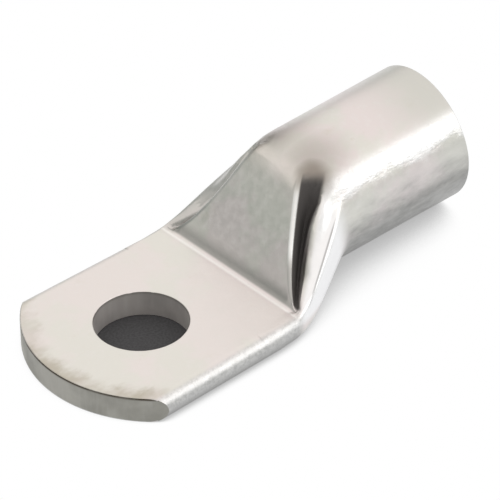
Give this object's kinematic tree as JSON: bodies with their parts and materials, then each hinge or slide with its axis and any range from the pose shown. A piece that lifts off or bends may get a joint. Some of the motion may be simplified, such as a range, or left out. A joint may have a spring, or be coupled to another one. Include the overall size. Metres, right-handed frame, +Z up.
{
  "type": "copper cable lug",
  "caption": "Tinned copper cable lug with a round crimp barrel that is pressed down over a flat ramp into a palm with a bolt hole",
  "frame": {"origin": "axis of the bolt hole, on the underside of the palm", "axes": "+X from the bolt hole towards the mouth of the barrel, +Z up through the bolt hole, away from the surface that the palm is bolted to, +Y across the palm"},
  "size_m": [0.0663, 0.0308, 0.0195],
  "materials": {
    "tinned_copper": "tin plate over copper, satin, with a frosted drag mark along the pressed edges"
  },
  "bodies": {
    "root": {"cable_lug": "tinned_copper"}
  },
  "joints": []
}
